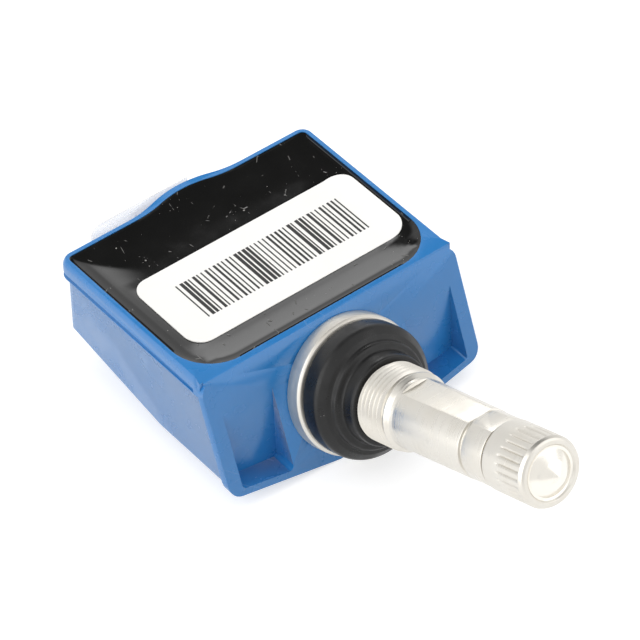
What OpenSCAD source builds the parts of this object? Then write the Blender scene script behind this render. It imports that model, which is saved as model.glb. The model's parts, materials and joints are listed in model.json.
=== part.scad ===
/* [Housing] */
// Angle between the stem and the plane of the housing's rim
stem_tilt = 20.25; // [18:0.25:22]
// Width of the seat flange
flange_w = 38.1; // [37:0.1:42]
// Height of the flange above the stem axis, along the flange
flange_up = 9.2; // [8.9:0.1:10.5]
// Reach of the flange below the stem axis, along the flange
flange_down = 9.7; // [9.3:0.1:11]
// Thickness of the flange's proud edge
flange_t = 1.2; // [0.8:0.1:2]
// Radius of the flange's lower and upper corners
flange_r = 1.85; // [1:0.05:2.5]
// How far the flange's edge stands out beyond the walls behind it
flange_step = 0.2; // [0.15:0.05:0.5]
// Height of the lip that runs round the rim
lip_h = 2.5; // [1.8:0.1:3.2]
// How far the lip overhangs the walls below it
lip_step = 0.45; // [0.2:0.05:0.6]
// Width of the land between the rim's side or back edge and the potting
rim_land = 0.85; // [0.7:0.05:1.2]
// Width of the land round the bulge
bulge_land = 1.15; // [0.8:0.05:1.4]
// Wall thickness below the lip
wall_t = 1.4; // [1.2:0.05:1.6]
// Slope of the keel's two faces across the housing, in degrees
keel_slope = 9.3; // [8:0.1:11]
// Width of the flat land along the keel
land_w = 7; // [5:0.5:9]
// Rise of the keel behind the land, in degrees
rear_rise = 10.5; // [9:0.5:14]
// Where the keel starts to rise, behind the flange's top edge
rear_start = 9.5; // [9:0.5:13]
// Radius where the walls turn into the keel
keel_r = 1.4; // [1.2:0.1:2.5]
// Radius of the rim's back corners
back_r = 1.6; // [1.2:0.05:2.5]
// How far the cell bulge stands out of the straight back edge
bulge = 1.35; // [1:0.05:1.8]
// Radius that blends the bulge into the back edge
bulge_blend = 14; // [8:0.5:16]

/* [Flange pockets] */
// Distance from the middle to the inner wall of a pocket
pocket_in = 9.9; // [9:0.1:11]
// Width of a pocket
pocket_w = 7.3; // [6:0.1:7.4]
// Height of a pocket's top edge above the stem axis, along the flange
pocket_top = 4.3; // [3.5:0.1:5]
// Plastic left under a pocket at the flange's face
pocket_floor = 0.8; // [0.7:0.05:1.2]
// Lean of a pocket's back wall in degrees
pocket_lean = 4; // [1:0.5:8]
// Draft of a pocket's side walls in degrees
pocket_draft = 12; // [4:0.5:14]
// Radius in a pocket's lower corners
pocket_r = 0.6; // [0.3:0.1:1.2]

/* [Potting] */
// Level of the potting below the rim
pool_drop = 0.9; // [0.6:0.1:1.2]
// Land between the flange's top edge and the potting
pool_front = 0.95; // [0.7:0.05:1.2]
// Radius of the pool's front corners
pool_front_r = 5.8; // [4:0.1:6.5]
// Radius of the pool's back corners
pool_back_r = 0.7; // [0.5:0.1:1.5]
// Distance from the flange's top edge to the cavity's front wall
cavity_front = 1.7; // [1.5:0.05:1.8]
// Gap that stands for the contact of poured or moulded faces
pour_gap = 0.02; // [0.01:0.01:0.04]

/* [Label and film] */
// Gap between the pool's left edge and the label
label_left = 2.95; // [1.5:0.05:4]
// Gap between the pool's right edge and the label's raised end
label_right = 0.65; // [0.5:0.05:1.5]
// Width of the label
label_w = 13.2; // [11:0.1:14]
// Thickness of the label
label_t = 0.12; // [0.08:0.01:0.2]
// Corner radius of the label
label_r = 2.4; // [1:0.1:3]
// Distance from the flange's top edge to the label's near edge
label_y = 5.9; // [4:0.1:6.5]
// Length of the label's end that climbs towards the rim
label_curl = 1.6; // [1:0.1:2.5]
// Height of each printed bar above the label
ink_t = 0.03; // [0.02:0.01:0.05]
// Length of the printed bars
bar_len = 6.6; // [5:0.1:7]
// Pitch of the printed bars
bar_pitch = 0.62; // [0.6:0.01:0.7]
// Bare label between its left end and the bars
bar_left = 4.4; // [3:0.1:6]
// Bare label between the bars and its raised end
bar_right = 1.5; // [1:0.1:4]
// Thickness of the film on the back
film_t = 0.15; // [0.1:0.01:0.3]
// Length of the film along the back
film_len = 14.5; // [8:0.5:16]
// Height of the film
film_h = 7; // [4:0.5:9]

/* [Circuit] */
// Diameter of the coin cell
cell_d = 24.5; // [24:0.1:24.6]
// Thickness of the coin cell
cell_t = 5; // [4:0.1:5.2]
// Depth of the cell's top face below the rim
cell_drop = 2.3; // [2.1:0.1:2.5]
// Room round the cell
cell_gap = 0.25; // [0.2:0.05:0.3]
// Room between the cell and the cavity's front wall
cell_front = 1.25; // [0.3:0.05:2]
// Thickness of the cell's contact tabs
tab_t = 0.15; // [0.1:0.01:0.2]
// Width of the contact tabs
tab_w = 4; // [3:0.1:5]
// Length of the contact tabs along the cell
tab_len = 5; // [4:0.1:6]
// Length of the circuit board
board_len = 17; // [15:0.5:18]
// Room between the circuit board's sides and the walls
board_side = 1.5; // [0.5:0.1:2.5]
// Room between the circuit board and the cavity's front wall
board_front = 0.8; // [0.5:0.1:1.5]
// Thickness of the circuit board
board_t = 1; // [0.8:0.1:1.6]
// Gap between the cell and the board
board_gap = 1; // [0.8:0.1:1.4]
// Length of the pressure chip
chip_len = 10; // [8:0.1:10.4]
// Width of the pressure chip without its leads
chip_w = 7.2; // [6:0.1:7.4]
// Height of the pressure chip
chip_h = 2.4; // [1.8:0.1:2.8]
// Pitch of the chip's leads
lead_pitch = 1.27; // [1.1:0.01:1.4]
// Offset of the pressure port from the middle
port_x = 6.5; // [5.5:0.1:7.5]
// Distance from the flange's top edge to the pressure port
port_y = 8.5; // [7:0.1:9.5]
// Bore of the pressure port
port_d = 2; // [1.5:0.1:2.4]
// Outer diameter of the seal tube over the port
port_seal_d = 4.6; // [4:0.1:5.2]
// Depth of the tube's seat in the floor
port_sink = 0.5; // [0.4:0.1:0.7]
// Length of the antenna core
antenna_len = 11; // [9:0.1:11.4]
// Thickness of the antenna core's ends
antenna_t = 2.4; // [2:0.1:2.6]
// Length of the crystal
crystal_len = 5; // [4:0.1:5.4]
// Width of the crystal
crystal_w = 3.2; // [2.6:0.1:3.4]
// Length of the capacitors
chip_cap_len = 1.8; // [1.4:0.1:2]

/* [Stem] */
// Diameter of the stem inside the washer and the grommet
root_d = 9; // [8.6:0.1:9.2]
// Depth of the stem's root in the flange
root_len = 3; // [2.6:0.1:3.1]
// Outer diameter of the nut thread
thread_d = 10; // [9.8:0.05:10.2]
// Where the nut thread ends, from the flange
thread_end = 13.4; // [12.8:0.1:14.5]
// Length of the cone from the thread down to the shank
cone_len = 1.4; // [0.8:0.1:2]
// Diameter of the plain shank
shank_d = 8.6; // [8.4:0.05:8.8]
// Height of the milled flat above the stem axis
flat_h = 3.87; // [3.7:0.01:4]
// Where the shank ends, from the flange
shank_end = 27.3; // [26:0.1:28]
// Width of the groove behind the collar
groove_w = 0.5; // [0.3:0.05:0.8]
// Diameter in the groove
groove_d = 7.8; // [7.4:0.1:8]
// Diameter of the collar
collar_d = 8.4; // [8.2:0.05:8.6]
// Length of the collar
collar_len = 3.7; // [3.2:0.1:4]
// Outer diameter of the cap thread
tip_d = 7.7; // [7.6:0.02:7.78]
// Length of the cap thread
tip_len = 5.7; // [5.4:0.1:5.9]
// Bore of the stem behind the valve core
air_d = 3; // [2.4:0.1:3.2]

/* [Seat washer and grommet] */
// Diameter of the seat washer
washer_d = 17.4; // [16.8:0.1:18]
// Thickness of the seat washer
washer_t = 2.5; // [2:0.1:2.8]
// Play of the washer and the grommet on the stem
bore_gap = 0.05; // [0.02:0.01:0.1]
// Diameter of the grommet's sealing disc
disc_d = 16.7; // [15.5:0.1:17]
// Thickness of the sealing disc
disc_t = 3.7; // [3:0.1:4]
// Diameter of the step in front of the disc
step_d = 13.4; // [12.5:0.1:14]
// Thickness of the step
step_t = 0.8; // [0.5:0.1:1.2]
// Diameter of the neck that fills the hole in the wheel
neck_d = 11.3; // [11.2:0.02:11.5]
// Length of the neck
neck_len = 2.1; // [1.8:0.1:2.4]

/* [Valve core and cap] */
// Diameter of the core's threaded head
core_d = 4.9; // [4.7:0.05:5]
// Length of the core's threaded head
core_head = 5; // [4.5:0.1:5.4]
// Diameter of the core's lower barrel
barrel_d = 3.6; // [3.4:0.05:3.7]
// Length of the core's lower barrel
barrel_len = 6.5; // [6:0.1:7]
// Radial play of the core in the stem
core_gap = 0.05; // [0.02:0.01:0.08]
// Diameter of the core pin
pin_d = 1; // [0.9:0.05:1.1]
// Travel of the core pin when it is pressed
pin_travel = 1.2; // [1:0.1:1.4]
// Radial play of the pin in its guide
pin_gap = 0.08; // [0.04:0.01:0.1]
// Diameter of the head on the core pin
pin_head_d = 2.2; // [2:0.05:2.3]
// Distance from the stem's end to the underside of the pin's head
pin_head_drop = 1.5; // [1.4:0.05:1.7]
// Reach of the pin below the core's barrel
pin_tail = 2.4; // [2.2:0.05:2.6]
// Depth of the cup on the pin's inner end
cup_len = 1.5; // [1.3:0.05:1.6]
// Length of the core's gasket
gasket_len = 1.8; // [1.4:0.05:2]
// Wire of the core spring
spring_wire = 0.25; // [0.2:0.01:0.3]
// Outer diameter of the cap
cap_d = 8.6; // [8.55:0.05:8.9]
// Radial play of the cap over its thread
cap_gap = 0.08; // [0.04:0.01:0.1]
// Gap between the collar and the cap's open end
cap_lift = 0.15; // [0.1:0.05:0.3]
// Length of the cap without its cone
cap_len = 7.3; // [7.1:0.1:8]
// Length of the smooth skirt behind the flutes
cap_skirt = 3; // [2.4:0.1:3.2]
// Number of flutes round the cap
flute_count = 28; // [24:2:32]
// Width of each flute
flute_w = 0.56; // [0.4:0.02:0.6]
// Diameter of the cone in the cap's end
cone_d = 5.8; // [5:0.1:6.2]
// Height of the cone above the cap's rim
cone_h = 1.15; // [0.8:0.05:1.5]
// Depth of the ring trough round the cone
trough = 0.45; // [0.3:0.05:0.5]

/* [Hidden] */
$fn = 64;
over = 40;
cut = 0.01;
slack = 0.03;

// Stations along the stem, measured out from the flange's face
disc_s = washer_t;
step_s = disc_s + disc_t;
neck_s = step_s + step_t;
neck_end = neck_s + neck_len;
neck_mid = neck_s + neck_len / 2;
cone_end = thread_end + cone_len;
collar_s = shank_end + groove_w;
collar_end = collar_s + collar_len;
tip_end = collar_end + tip_len;
cap_s = collar_end + cap_lift;
cap_end = cap_s + cap_len;
head_s = tip_end - 0.5 - core_head;
barrel_s = head_s - barrel_len;

// The origin lies on the stem axis, halfway along the grommet's neck
seat_y = neck_mid * cos(stem_tilt);
seat_z = -neck_mid * sin(stem_tilt);
top_z = seat_z + flange_up * cos(stem_tilt);
front_y = seat_y + flange_up * sin(stem_tilt);
back_y = front_y + cavity_front + cell_front + cell_d + cell_gap + wall_t + lip_step - bulge;

// Keel and walls, as depths below the rim and half widths
keel_depth = (flange_up + flange_down) * cos(stem_tilt);
land_depth = keel_depth - land_w / 2 * tan(keel_slope);
lip_half = flange_w / 2 - flange_step;
wall_half = lip_half - lip_step;
pool_half = lip_half - rim_land;
cavity_half = wall_half - wall_t;
bulge_r = cell_d / 2 + cell_gap + wall_t + lip_step;
cell_y = back_y + bulge - bulge_r;
cell_z = top_z - cell_drop - cell_t;
board_z = cell_z - board_gap - board_t;
board_y = front_y + cavity_front + board_front;
board_w = 2 * (cavity_half - board_side);
chip_z = board_z - chip_h;
floor_t = wall_t;
port_floor = top_z - keel_depth + port_x * tan(keel_slope) + floor_t;

function unit(v) = v / norm(v);
function turn(a, b) = let (d = b - a) d > 180 ? d - 360 : d < -180 ? d + 360 : d;
function arc_points(c, r, a, sweep, n, skip = 0) =
    [for (i = [skip : n - skip]) let (b = a + sweep * i / n) c + r * [cos(b), sin(b)]];
function corner(p, q, s, r, n) =
    let (u = unit(p - q), v = unit(s - q), half = acos(u * v) / 2)
    let (c = q + unit(u + v) * r / sin(half), from = q + u * r / tan(half), to = q + v * r / tan(half))
    let (a = atan2(from[1] - c[1], from[0] - c[0]), b = atan2(to[1] - c[1], to[0] - c[0]))
    arc_points(c, r, a, turn(a, b), n);
function rounded(pts, radii, n = 6) =
    let (m = len(pts))
    [for (i = [0 : m - 1])
        each radii[i] > 0 ? corner(pts[(i + m - 1) % m], pts[i], pts[(i + 1) % m], radii[i], n) : [pts[i]]];

module on_stem(s = 0) {
    translate([0, seat_y, seat_z]) rotate([90 - stem_tilt, 0, 0]) translate([0, 0, s]) children();
}

module along_y(y0, y1) {
    translate([0, y1, 0]) rotate([90, 0, 0]) linear_extrude(y1 - y0) children();
}

module spun(points) {
    rotate_extrude() polygon(points);
}

module block(low, high, grow = 0) {
    translate(low - [grow, grow, grow]) cube(high - low + 2 * [grow, grow, grow]);
}

// Plan of the rim, inset from its outer edge, with the bulge round the cell
function plan(half, y0, inset, front_r, corner_r, bulge_inset) =
    let (yb = back_y - inset, r = bulge_r - bulge_inset, blend = bulge_blend + inset)
    let (xb = sqrt(pow(r + blend, 2) - pow(yb + blend - cell_y, 2)))
    let (swing = atan2(xb, yb + blend - cell_y))
    concat(
        corner([half, y0], [half, yb], [0, yb], corner_r, 6),
        arc_points([xb, yb + blend], blend, -90, -swing, 6),
        arc_points([0, cell_y], r, 90 - swing, 2 * swing, 16, 1),
        arc_points([-xb, yb + blend], blend, -90 + swing, -swing, 6),
        corner([0, yb], [-half, yb], [-half, y0], corner_r, 6),
        front_r > 0 ? corner([-half, yb], [-half, y0], [0, y0], front_r, 10) : [[-half, y0]],
        front_r > 0 ? corner([0, y0], [half, y0], [half, yb], front_r, 10) : [[half, y0]]
    );

// Cross section of walls and keel, with z = 0 at the rim
function keel_section(half, lift, edge_r) =
    let (edge = -keel_depth + lift + half * tan(keel_slope), land = -land_depth + lift)
    rounded([[half, over], [half, edge], [land_w / 2, land], [-land_w / 2, land], [-half, edge],
             [-half, over]], [0, edge_r, 0, 0, edge_r, 0]);

// Room between the walls and above the keel, level in front and rising behind
module keel_room(half, lift, edge_r) {
    rise_y = front_y + rear_start;
    intersection() {
        translate([0, 0, top_z]) along_y(-over, back_y + over)
            polygon(keel_section(half + slack, lift, edge_r));
        translate([0, rise_y, top_z - keel_depth]) rotate([rear_rise, 0, 0]) translate([0, 0, keel_depth])
            along_y(-over, over) polygon(keel_section(half + 2 * slack, lift, edge_r));
    }
}

module walls() {
    intersection() {
        keel_room(wall_half, 0, keel_r);
        translate([0, 0, top_z - over]) linear_extrude(over)
            polygon(plan(wall_half, front_y - over, lip_step, 0, back_r, lip_step));
        on_stem(-over - flange_up) linear_extrude(over + flange_up) square(2 * over, center = true);
    }
}

module flange() {
    intersection() {
        on_stem(-flange_t) linear_extrude(flange_t)
            polygon(rounded([[flange_w / 2, flange_up], [-flange_w / 2, flange_up], [-flange_w / 2, -over],
                             [flange_w / 2, -over]], [flange_r, flange_r, 0, 0]));
        translate([0, 0, top_z]) along_y(-over, over) polygon(keel_section(flange_w / 2, 0, flange_r));
    }
}

module lip() {
    translate([0, 0, top_z - lip_h]) linear_extrude(lip_h)
        polygon(plan(lip_half, front_y + 0.3, 0, 0, back_r, 0));
}

module cavity(gap = 0) {
    translate([0, 0, top_z - lip_h + gap]) linear_extrude(lip_h + cut)
        polygon(plan(pool_half - gap, front_y + pool_front + gap, rim_land + gap, pool_front_r, pool_back_r,
                     bulge_land + gap));
    intersection() {
        keel_room(cavity_half - gap, floor_t + gap, keel_r);
        translate([0, 0, top_z - over]) linear_extrude(over)
            polygon(plan(cavity_half - gap, front_y + cavity_front + gap, lip_step + wall_t + gap, back_r,
                         back_r, lip_step + wall_t + gap));
    }
}

module pocket() {
    rise = tan(keel_slope);
    x1 = pocket_in + pocket_w;
    mid = pocket_in + pocket_w / 2;
    tip = -pocket_w / 2 / tan(pocket_draft);
    bed = top_z - keel_depth + pocket_floor;
    y0 = seat_y + pocket_top * sin(stem_tilt);
    z0 = seat_z + pocket_top * cos(stem_tilt);
    spread = over * tan(pocket_draft);
    intersection() {
        rotate([90, 0, 90]) linear_extrude(over)
            polygon([[y0, z0], [y0 - (z0 + over) * tan(pocket_lean), -over], [-over, -over], [-over, z0]]);
        along_y(-over, over)
            polygon(rounded([[pocket_in, over], [pocket_in, bed + pocket_in * rise], [x1, bed + x1 * rise],
                             [x1, over]], [0, pocket_r, pocket_r, 0]));
        on_stem() translate([0, over, 0]) rotate([90, 0, 0]) linear_extrude(2 * over)
            polygon([[pocket_in - spread, over], [x1 + spread, over], [mid + 0.5, tip], [mid - 0.5, tip]]);
    }
}

module stem_root(gap = 0) {
    translate([0, 0, -root_len - gap])
        cylinder(d = (root_d + 2 * gap) / cos(30), h = root_len / 2 + 2 * gap, $fn = 6);
    translate([0, 0, -root_len]) cylinder(d = root_d - 1 + 2 * gap, h = root_len + cut);
}

module housing() {
    air_s = root_len + 1.2;
    air_y = front_y - 0.1;
    color("#2f6fb5") difference() {
        union() {
            walls();
            lip();
            flange();
        }
        cavity();
        pocket();
        mirror([1, 0, 0]) pocket();
        on_stem() stem_root(pour_gap);
        on_stem(-air_s) cylinder(d = air_d, h = air_s);
        translate([0, air_y, top_z - over]) cylinder(d = 2.2, h = over - flange_up - 1.6);
        translate([port_x, front_y + port_y, port_floor]) {
            translate([0, 0, -2 * floor_t]) cylinder(d = port_d, h = 3 * floor_t);
            translate([0, 0, -port_sink]) cylinder(d = port_seal_d + 2 * pour_gap, h = 2);
        }
    }
}

module potting() {
    color("#0b0b0d") difference() {
        cavity(pour_gap);
        translate([-over, 0, top_z - pool_drop]) cube([2 * over, 2 * over, over]);
        cell_solid(pour_gap);
        board_solid(pour_gap);
        tab_positive_solid(pour_gap);
        tab_negative_solid(pour_gap);
        chip_solid(pour_gap);
        port_seal_solid(pour_gap, false);
        antenna_core_solid(pour_gap);
        antenna_winding_solid(pour_gap, false);
        crystal_solid(pour_gap);
        capacitor_solids(pour_gap);
    }
}

module cell_solid(gap = 0) {
    rim = 0.4;
    translate([0, cell_y, cell_z - gap]) {
        cylinder(d = cell_d - 2 + 2 * gap, h = rim + cut);
        translate([0, 0, rim]) cylinder(d = cell_d + 2 * gap, h = cell_t - rim + 2 * gap);
    }
}

module board_solid(gap = 0) {
    y1 = board_y + board_len;
    translate([0, 0, board_z - gap]) linear_extrude(board_t + 2 * gap)
        polygon(rounded([[-board_w / 2 - gap, board_y - gap], [board_w / 2 + gap, board_y - gap],
                         [board_w / 2 + gap, y1 + gap], [-board_w / 2 - gap, y1 + gap]],
                        [1.5, 1.5, 1.5, 1.5]));
}

// The positive tab lies on the cell and comes down beside it to the board
module tab_positive_solid(gap = 0) {
    x1 = cell_d / 2 + 1;
    top = cell_z + cell_t;
    block([x1 - tab_len, cell_y - tab_w / 2, top + gap], [x1, cell_y + tab_w / 2, top + tab_t], gap);
    block([x1 - tab_t, cell_y - tab_w / 2, board_z + board_t + gap],
          [x1, cell_y + tab_w / 2, top + tab_t], gap);
}

// The negative tab lies under the cell and bends down to the board on the other side
module tab_negative_solid(gap = 0) {
    x1 = -cell_d / 2 + 1.2;
    block([x1, cell_y - tab_w / 2, cell_z - tab_t], [x1 + tab_len, cell_y + tab_w / 2, cell_z - gap], gap);
    block([x1, cell_y - tab_w / 2, board_z + board_t + gap],
          [x1 + tab_t, cell_y + tab_w / 2, cell_z - gap], gap);
}

module chip_solid(gap = 0) {
    half = [chip_len / 2, chip_w / 2];
    y = front_y + port_y;
    lead = 0.25;
    block([port_x - half[0], y - half[1], chip_z], [port_x + half[0], y + half[1], board_z - lead], gap);
    for (side = [-1, 1]) for (i = [-3 : 3])
        block([port_x + i * lead_pitch - 0.2, y + side * (half[1] + 0.3) - 0.5, board_z - lead - 0.4],
              [port_x + i * lead_pitch + 0.2, y + side * (half[1] + 0.3) + 0.5, board_z - gap], gap);
}

module port_seal_solid(gap = 0, bored = true) {
    translate([port_x, front_y + port_y, port_floor - port_sink]) difference() {
        cylinder(d = port_seal_d + 2 * gap, h = chip_z - port_floor + port_sink);
        if (bored) translate([0, 0, -cut]) cylinder(d = port_d, h = chip_z - port_floor);
    }
}

antenna_x = -6.5;
antenna_y = front_y + 8;

module antenna_core_solid(gap = 0) {
    half = antenna_len / 2;
    top = board_z - 0.5;
    for (side = [-1, 1])
        block([antenna_x + side * (half - 0.75) - 0.75, antenna_y - antenna_t / 2, board_z - antenna_t - 1],
              [antenna_x + side * (half - 0.75) + 0.75, antenna_y + antenna_t / 2, board_z - gap], gap);
    block([antenna_x - half + 1, antenna_y - 0.6, top - antenna_t + 0.4],
          [antenna_x + half - 1, antenna_y + 0.6, top - 0.5], gap);
}

module antenna_winding_solid(gap = 0, bored = true) {
    half = antenna_len / 2 - 1.55;
    difference() {
        block([antenna_x - half, antenna_y - antenna_t / 2 + 0.2, board_z - antenna_t - 0.6],
              [antenna_x + half, antenna_y + antenna_t / 2 - 0.2, board_z - 0.5], gap);
        if (bored) antenna_core_solid(pour_gap);
    }
}

module crystal_solid(gap = 0) {
    low = [-10, front_y + 13];
    block([low[0], low[1], board_z - 1.3], [low[0] + crystal_len, low[1] + crystal_w, board_z - gap], gap);
}

module capacitor_solids(gap = 0) {
    small = [chip_cap_len, chip_cap_len * 0.6];
    large = [chip_cap_len + 0.2, chip_cap_len * 0.8];
    for (i = [0 : 4]) let (x = -12.5 + 2.6 * i, y = front_y + 4)
        block([x, y, board_z - small[1]], [x + small[0], y + small[1], board_z - gap], gap);
    for (i = [0 : 2]) let (x = 1 + 3.2 * i, y = front_y + 14)
        block([x, y, board_z - large[1]], [x + large[0], y + large[1], board_z - gap], gap);
}

module circuit_board() {
    color("#1d5c38") board_solid();
}

module coin_cell() {
    color("#c4c6c8") cell_solid();
}

module cell_tab_positive() {
    color("#b9b7ae") tab_positive_solid();
}

module cell_tab_negative() {
    color("#b9b7ae") tab_negative_solid();
}

module pressure_chip() {
    color("#202225") chip_solid();
}

module port_seal() {
    color("#d9d9d4") port_seal_solid();
}

module antenna_core() {
    color("#3a3532") antenna_core_solid();
}

module antenna_winding() {
    color("#a8592e") antenna_winding_solid();
}

module crystal() {
    color("#b8babd") crystal_solid();
}

module capacitors() {
    color("#b08d63") capacitor_solids();
}

// The label lies on the potting and its right end climbs the pool's edge
label_low = -pool_half + label_left;
label_high = pool_half - label_right;
label_near = front_y + label_y;
label_z = top_z - pool_drop;
bar_count = floor((label_high - label_curl - bar_right - label_low - bar_left) / bar_pitch);

module label() {
    climb = pool_drop * 0.75;
    bend = label_high - label_curl;
    color("#f3f3ef") intersection() {
        along_y(label_near, label_near + label_w)
            polygon([[label_low, label_z], [bend, label_z], [label_high, label_z + climb],
                     [label_high, label_z + climb + label_t], [bend, label_z + label_t],
                     [label_low, label_z + label_t]]);
        translate([0, 0, label_z - 1]) linear_extrude(3)
            polygon(rounded([[label_low, label_near], [label_high, label_near],
                             [label_high, label_near + label_w], [label_low, label_near + label_w]],
                            [label_r, label_r, label_r, label_r]));
    }
}

// Bar widths follow a fixed rule and stand for no code
module label_bars() {
    bar_x = label_low + bar_left;
    bar_y = label_near + (label_w - bar_len) / 2;
    color("#17181a") for (i = [0 : bar_count - 1]) {
        w = bar_pitch * [0.28, 0.5, 0.28, 0.72, 0.4, 0.28, 0.6][(i * 3 + floor(i / 4)) % 7];
        translate([bar_x + i * bar_pitch, bar_y, label_z + label_t]) cube([w, bar_len, ink_t]);
    }
}

module back_film() {
    film_y = back_y + bulge + pour_gap;
    color([0.86, 0.84, 0.85, 0.6]) along_y(film_y, film_y + film_t)
        polygon(rounded([[1.7 - film_len, top_z - film_h], [1.7, top_z - film_h], [1.7, top_z],
                         [1.7 - film_len, top_z]], [0.8, 0, 0, 1.6]));
}

module valve_stem() {
    seat_d = core_d + 2 * core_gap;
    lower_d = barrel_d + 2 * core_gap + 0.3;
    cup_room = barrel_s - 4.6;
    color("#d8d3c8") on_stem() difference() {
        union() {
            stem_root();
            spun([[0, 0], [root_d / 2, 0], [root_d / 2, neck_end + cut], [thread_d / 2, neck_end + cut],
                  [thread_d / 2, thread_end], [shank_d / 2 + 0.2, cone_end - 0.5], [shank_d / 2, cone_end],
                  [shank_d / 2, shank_end], [groove_d / 2, shank_end], [groove_d / 2, collar_s],
                  [collar_d / 2, collar_s], [collar_d / 2, collar_end], [tip_d / 2, collar_end],
                  [tip_d / 2, tip_end - 0.4], [tip_d / 2 - 0.4, tip_end], [0, tip_end]]);
        }
        translate([-over, flat_h, cone_end + 0.1]) cube([2 * over, over, collar_end - cone_end - 0.1 - cut]);
        translate([0, 0, -over]) cylinder(d = air_d, h = 2 * over);
        translate([0, 0, cup_room]) cylinder(d = lower_d, h = head_s - cup_room);
        translate([0, 0, head_s - core_gap]) cylinder(d = seat_d, h = over);
    }
}

module seat_washer() {
    bore = root_d / 2 + bore_gap;
    rim = washer_d / 2;
    edge = 0.35;
    color("#b9bcc0") on_stem()
        spun([[bore, 0], [rim - edge, 0], [rim, edge], [rim, washer_t - edge], [rim - edge, washer_t],
              [bore, washer_t]]);
}

module rim_grommet() {
    bore = root_d / 2 + bore_gap;
    color("#1a1a1b") on_stem()
        spun(rounded([[bore, disc_s], [disc_d / 2, disc_s], [disc_d / 2, step_s], [step_d / 2, step_s],
                      [step_d / 2, neck_s], [neck_d / 2, neck_s], [neck_d / 2, neck_end], [bore, neck_end]],
                     [0, 0.4, 0.9, 0.3, 0.3, 0, 0, 0]));
}

module core_barrel() {
    guide = pin_d + 2 * pin_gap;
    slot = 1.1;
    color("#c9a14a") on_stem() difference() {
        union() {
            translate([0, 0, head_s]) cylinder(d = core_d, h = core_head);
            translate([0, 0, barrel_s]) cylinder(d = barrel_d, h = barrel_len + cut);
        }
        translate([0, 0, head_s - 1]) cylinder(d = 2.6, h = over);
        translate([0, 0, barrel_s - 1]) cylinder(d = guide, h = over);
        for (side = [-1, 1]) translate([side * core_d / 2 - slot / 2, -core_d, head_s + core_head - 2.2])
            cube([slot, 2 * core_d, over]);
    }
}

module core_gasket() {
    bore = barrel_d / 2 + pour_gap;
    rim = (barrel_d + 2 * core_gap + 0.3) / 2 - pour_gap;
    low = head_s - 0.6 - gasket_len;
    color("#26292b") on_stem()
        spun([[bore, low], [rim, low + 0.3], [rim, low + gasket_len - 0.3], [bore, low + gasket_len]]);
}

module core_pin() {
    color("#d2ad58") on_stem() {
        translate([0, 0, barrel_s - pin_tail]) cylinder(d = pin_d, h = tip_end - 0.2 - barrel_s + pin_tail);
        translate([0, 0, tip_end - pin_head_drop]) cylinder(d = pin_head_d, h = 0.5);
    }
}

module core_cup() {
    cup_s = barrel_s - 0.5 - cup_len;
    bore = pin_d / 2 + pour_gap;
    rim = barrel_d / 2 - 0.1;
    color("#c9a14a") on_stem()
        spun([[bore, cup_s], [rim, cup_s], [rim, cup_s + cup_len], [rim - 0.3, cup_s + cup_len],
              [rim - 0.3, cup_s + 0.4], [bore, cup_s + 0.4]]);
}

module core_seal() {
    low = barrel_s - 0.1 - cup_len + pour_gap;
    bore = pin_d / 2 + pour_gap;
    rim = barrel_d / 2 - 0.4 - pour_gap;
    color("#1f2122") on_stem()
        spun([[bore, low], [rim, low], [rim, barrel_s - pour_gap], [bore, barrel_s - pour_gap]]);
}

// The spring is drawn as stacked rings on one bar, between the barrel's step and the pin's head
module core_spring() {
    low = head_s - 1;
    high = tip_end - pin_head_drop;
    rings = 7;
    pitch = (high - low - spring_wire) / (rings - 1);
    inner_r = 0.85;
    bar = spring_wire * 0.8;
    color("#cfd2d4") on_stem() translate([0, 0, low]) {
        for (i = [0 : rings - 1]) translate([0, 0, i * pitch]) difference() {
            cylinder(r = inner_r + spring_wire, h = spring_wire);
            translate([0, 0, -cut]) cylinder(r = inner_r, h = spring_wire + 2 * cut);
        }
        translate([inner_r + 0.02, -bar / 2, spring_wire / 2]) cube([bar, bar, high - low - spring_wire]);
    }
}

module valve_cap() {
    bore = tip_d / 2 + cap_gap;
    rim = cap_d / 2;
    fold = 0.35;
    flute_s = cap_s + cap_skirt;
    flute_len = cap_end - 0.7 - flute_s;
    wall_s = cap_end - 1;
    color("#dcd7cd") on_stem() difference() {
        spun([[bore, cap_s], [rim - 0.1, cap_s], [rim, cap_s + 0.3], [rim, cap_end - fold],
              [rim - fold, cap_end],
              [cone_d / 2 + 0.35, cap_end], [cone_d / 2, cap_end - trough], [0.3, cap_end + cone_h - 0.1],
              [0, cap_end + cone_h], [0, wall_s], [bore, wall_s]]);
        for (i = [0 : flute_count - 1]) rotate([0, 0, i * 360 / flute_count])
            translate([rim + flute_w * 0.28, 0, flute_s]) cylinder(d = flute_w, h = flute_len, $fn = 16);
    }
}

module cap_seal() {
    color("#2a2c2d") on_stem(tip_end + pour_gap)
        cylinder(r = tip_d / 2 - 0.1, h = cap_end - 1 - tip_end - 2 * pour_gap);
}

housing();
potting();
label();
label_bars();
back_film();
circuit_board();
coin_cell();
cell_tab_positive();
cell_tab_negative();
pressure_chip();
port_seal();
antenna_core();
antenna_winding();
crystal();
capacitors();
valve_stem();
seat_washer();
rim_grommet();
core_barrel();
core_gasket();
core_pin();
core_cup();
core_seal();
core_spring();
valve_cap();
cap_seal();
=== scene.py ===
"""Tyre pressure sensor: the visible pieces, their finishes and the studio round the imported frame."""

import json
from math import acos, atan2, cos, pi, radians, sin, tan

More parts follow.
